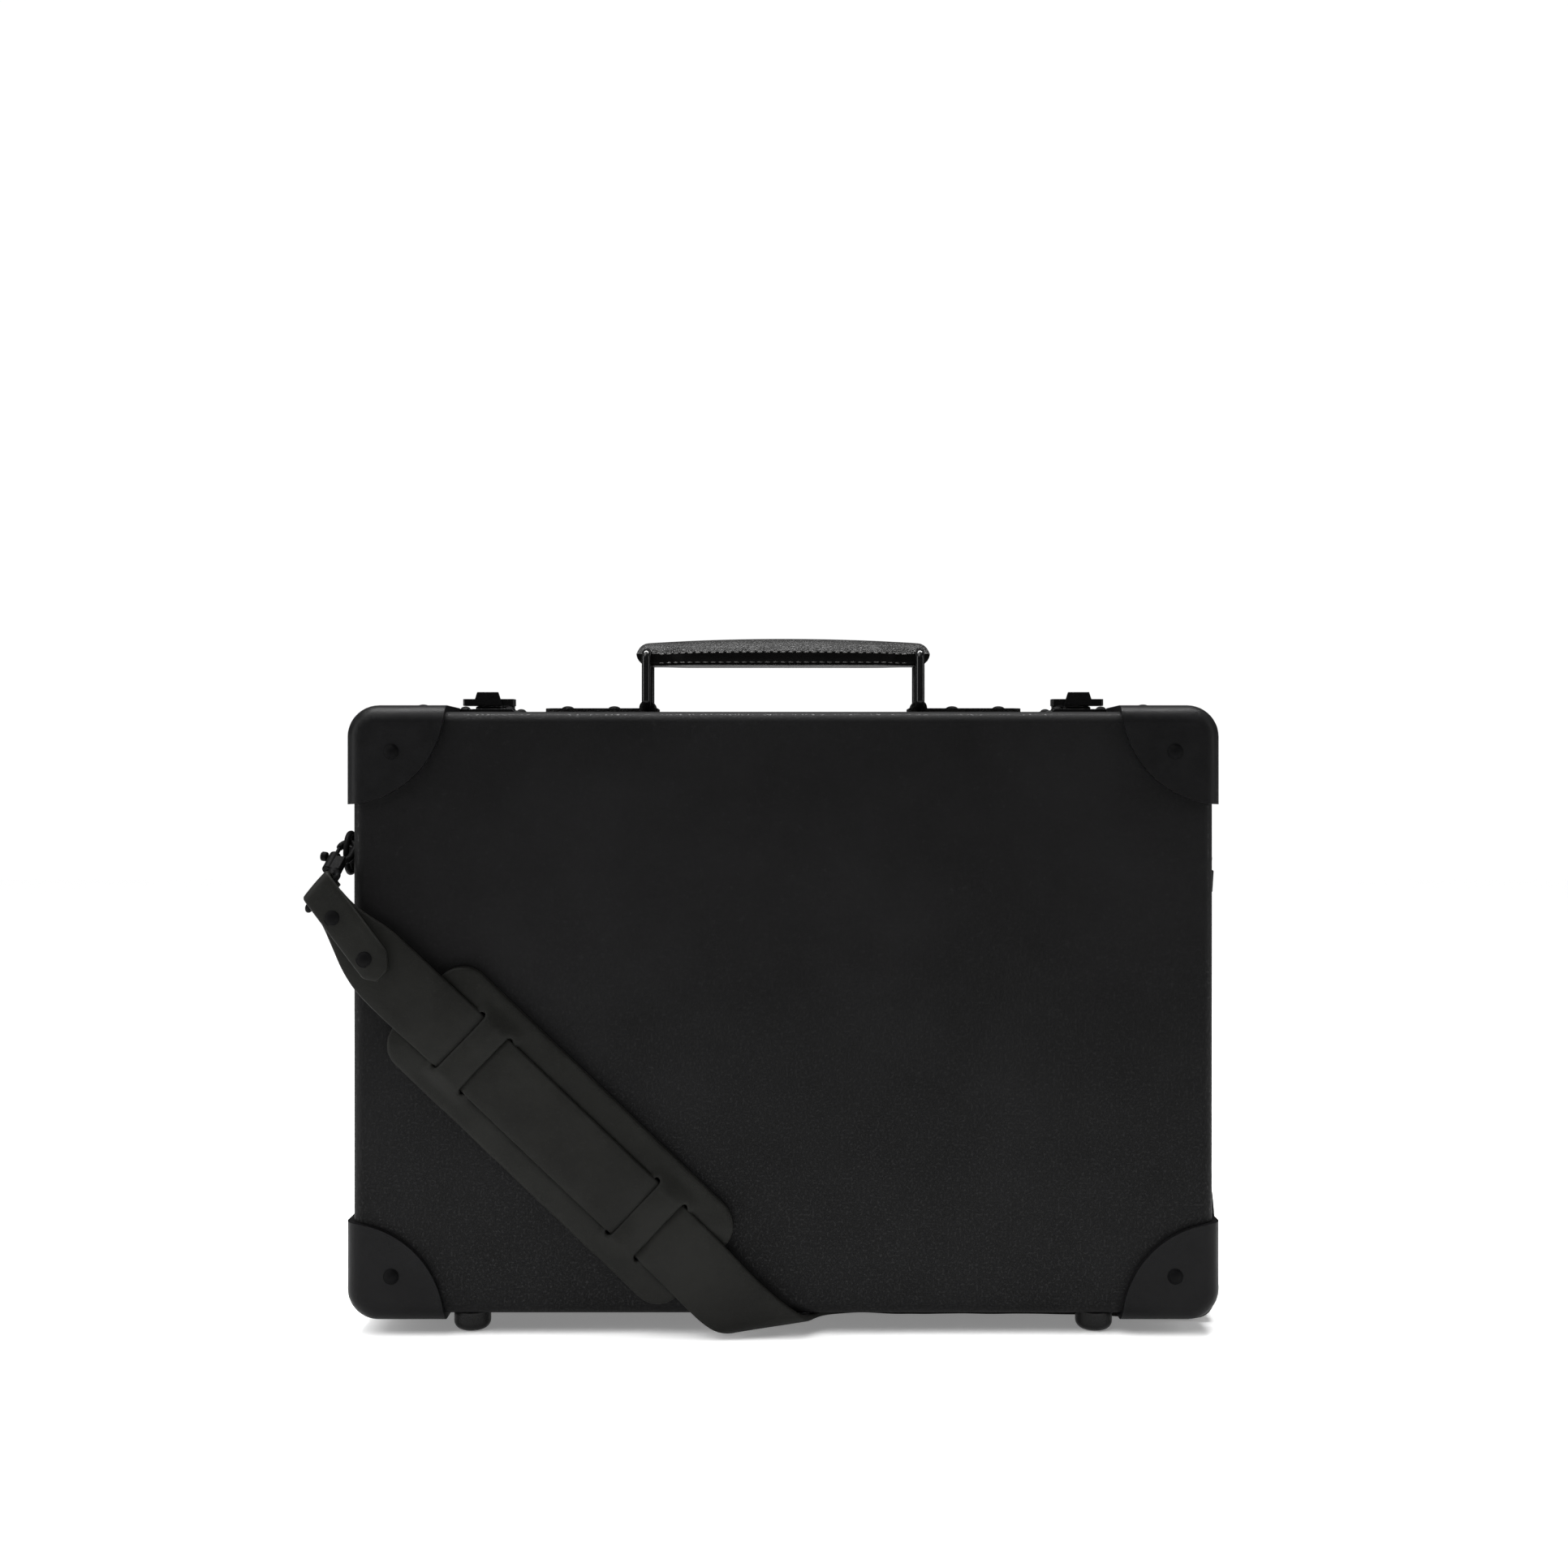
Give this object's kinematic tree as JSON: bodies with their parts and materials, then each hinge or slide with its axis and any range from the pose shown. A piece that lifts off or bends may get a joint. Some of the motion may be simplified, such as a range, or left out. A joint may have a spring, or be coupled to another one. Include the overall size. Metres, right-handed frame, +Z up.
{
  "type": "attache case",
  "caption": "Slim hard-sided attache case in black fibreboard with leather corner caps, a swinging top handle, swing-over latches and a hooked-on padded shoulder strap.",
  "frame": {"origin": "on the floor, under the middle of the standing case", "axes": "+X across the case to the right seen from its front, +Y from the front tray to the lid, +Z up"},
  "size_m": [0.4249, 0.1086, 0.321],
  "materials": {
    "board": "black vulcanised fibreboard, matt with a faint pebble",
    "lining": "dark woven cloth",
    "rail_wood": "varnished plain wood",
    "cap_leather": "smooth black leather with a soft shine",
    "foot_rubber": "black, smooth",
    "handle_leather": "grained black leather",
    "pocket_leather": "soft dark leather",
    "strap_leather": "matt black leather with a slight olive cast",
    "plain_steel": "satin steel",
    "black_hardware": "glossy black lacquer on metal"
  },
  "bodies": {
    "base": {"base_cap_rivets": "black_hardware", "base_corner_caps": "cap_leather", "base_feet": "foot_rubber", "base_foot_screws": "black_hardware", "base_lining": "lining", "base_rails": "rail_wood", "base_shell": "board", "handle_tab_left": "handle_leather", "handle_tab_right": "handle_leather", "handle_tab_rivets": "black_hardware", "hinge_base_leaves": "black_hardware", "hinge_base_rivets": "black_hardware", "hinge_pins": "plain_steel", "hook_body_left": "black_hardware", "hook_body_right": "black_hardware", "hook_eye_left": "black_hardware", "hook_eye_right": "black_hardware", "latch_plate_rivets": "black_hardware", "latch_plates": "black_hardware", "saddle_rivets": "black_hardware", "shoulder_pad": "strap_leather", "stay_base_studs": "plain_steel", "strap_corner": "strap_leather", "strap_edge": "strap_leather", "strap_front": "strap_leather", "strap_rivets": "black_hardware", "strap_saddles": "black_hardware", "strap_side": "strap_leather", "strap_tongue_left": "strap_leather", "strap_tongue_right": "strap_leather", "strap_under": "strap_leather"},
    "lid": {"lid_shell": "board", "lid_lining": "lining", "lid_rails": "rail_wood", "lid_pocket": "pocket_leather", "lid_corner_caps": "cap_leather", "lid_cap_rivets": "black_hardware", "lid_feet": "foot_rubber", "lid_foot_screws": "black_hardware", "latch_brackets": "black_hardware", "latch_bracket_rivets": "black_hardware", "latch_pins": "plain_steel", "hinge_lid_leaves": "black_hardware", "hinge_lid_rivets": "black_hardware", "stay_lid_studs": "plain_steel"},
    "handle_ring_left_body": {"handle_ring_left": "black_hardware"},
    "handle_ring_right_body": {"handle_ring_right": "black_hardware"},
    "handle_grip_body": {"handle_grip": "handle_leather", "handle_core": "plain_steel"},
    "hasp_left": {"latch_hasp_left": "black_hardware"},
    "hasp_right": {"latch_hasp_right": "black_hardware"},
    "strap_ring_left": {"d_ring_left": "black_hardware"},
    "strap_ring_right": {"d_ring_right": "black_hardware"},
    "bolt_left": {"hook_bolt_left": "black_hardware"},
    "bolt_right": {"hook_bolt_right": "black_hardware"},
    "stay_base_left": {"stay_base_arm_left": "plain_steel"},
    "stay_base_right": {"stay_base_arm_right": "plain_steel"},
    "stay_lid_left": {"stay_lid_arm_left": "plain_steel"},
    "stay_lid_right": {"stay_lid_arm_right": "plain_steel"}
  },
  "joints": [
    {"name": "lid_hinge", "type": "hinge", "parent": "base", "child": "lid", "pos_m": [0, 0.02, 0.0062], "axis": [-1, 0, 0], "range_deg": [0, 95]},
    {"name": "handle_ring_left_pivot", "type": "hinge", "parent": "base", "child": "handle_ring_left_body", "pos_m": [-0.064, -0.012, 0.288], "axis": [0, 1, 0], "range_deg": [-50, 50]},
    {"name": "handle_ring_right_pivot", "type": "hinge", "parent": "base", "child": "handle_ring_right_body", "pos_m": [0.064, -0.012, 0.288], "axis": [0, 1, 0], "range_deg": [-50, 50]},
    {"name": "handle_grip_pivot", "type": "hinge", "parent": "handle_ring_left_body", "child": "handle_grip_body", "pos_m": [-0.064, -0.012, 0.3137], "axis": [0, 1, 0], "range_deg": [-50, 50]},
    {"name": "hasp_left_hinge", "type": "hinge", "parent": "lid", "child": "hasp_left", "pos_m": [-0.1425, 0.031, 0.2912], "axis": [-1, 0, 0], "range_deg": [0, 110]},
    {"name": "hasp_right_hinge", "type": "hinge", "parent": "lid", "child": "hasp_right", "pos_m": [0.1425, 0.031, 0.2912], "axis": [-1, 0, 0], "range_deg": [0, 110]},
    {"name": "strap_ring_left_hinge", "type": "hinge", "parent": "base", "child": "strap_ring_left", "pos_m": [-0.2022, -0.02, 0.22], "axis": [0, 0, -1], "range_deg": [0, 4]},
    {"name": "strap_ring_right_hinge", "type": "hinge", "parent": "base", "child": "strap_ring_right", "pos_m": [0.2022, -0.004, 0.22], "axis": [0, 0, -1], "range_deg": [0, 4]},
    {"name": "bolt_left_slide", "type": "slide", "parent": "base", "child": "bolt_left", "axis": [-0.1808, -0.7515, -0.6345], "range_m": [0, 0.0044], "stiffness_N_per_m": 150, "springref_m": -0.002},
    {"name": "bolt_right_slide", "type": "slide", "parent": "base", "child": "bolt_right", "axis": [-0.018, 0.1801, -0.9835], "range_m": [0, 0.0044], "stiffness_N_per_m": 150, "springref_m": -0.002},
    {"name": "stay_base_left_pivot", "type": "hinge", "parent": "base", "child": "stay_base_left", "pos_m": [-0.1878, 0.011, 0.13088], "axis": [-1, 0, 0], "range_deg": [0, 95]},
    {"name": "stay_lid_left_pivot", "type": "hinge", "parent": "lid", "child": "stay_lid_left", "pos_m": [-0.1854, 0.029, 0.13088], "axis": [-1, 0, 0], "range_deg": [-95, 0]},
    {"name": "stay_base_right_pivot", "type": "hinge", "parent": "base", "child": "stay_base_right", "pos_m": [0.1878, 0.011, 0.13088], "axis": [-1, 0, 0], "range_deg": [0, 95]},
    {"name": "stay_lid_right_pivot", "type": "hinge", "parent": "lid", "child": "stay_lid_right", "pos_m": [0.1854, 0.029, 0.13088], "axis": [-1, 0, 0], "range_deg": [-95, 0]}
  ],
  "couplings": [
    {"joint": "handle_ring_right_pivot", "follows": "handle_ring_left_pivot", "ratio": 1},
    {"joint": "handle_grip_pivot", "follows": "handle_ring_left_pivot", "ratio": -1},
    {"joint": "stay_base_left_pivot", "follows": "lid_hinge", "ratio": 1},
    {"joint": "stay_lid_left_pivot", "follows": "lid_hinge", "ratio": -1},
    {"joint": "stay_base_right_pivot", "follows": "lid_hinge", "ratio": 1},
    {"joint": "stay_lid_right_pivot", "follows": "lid_hinge", "ratio": -1}
  ]
}
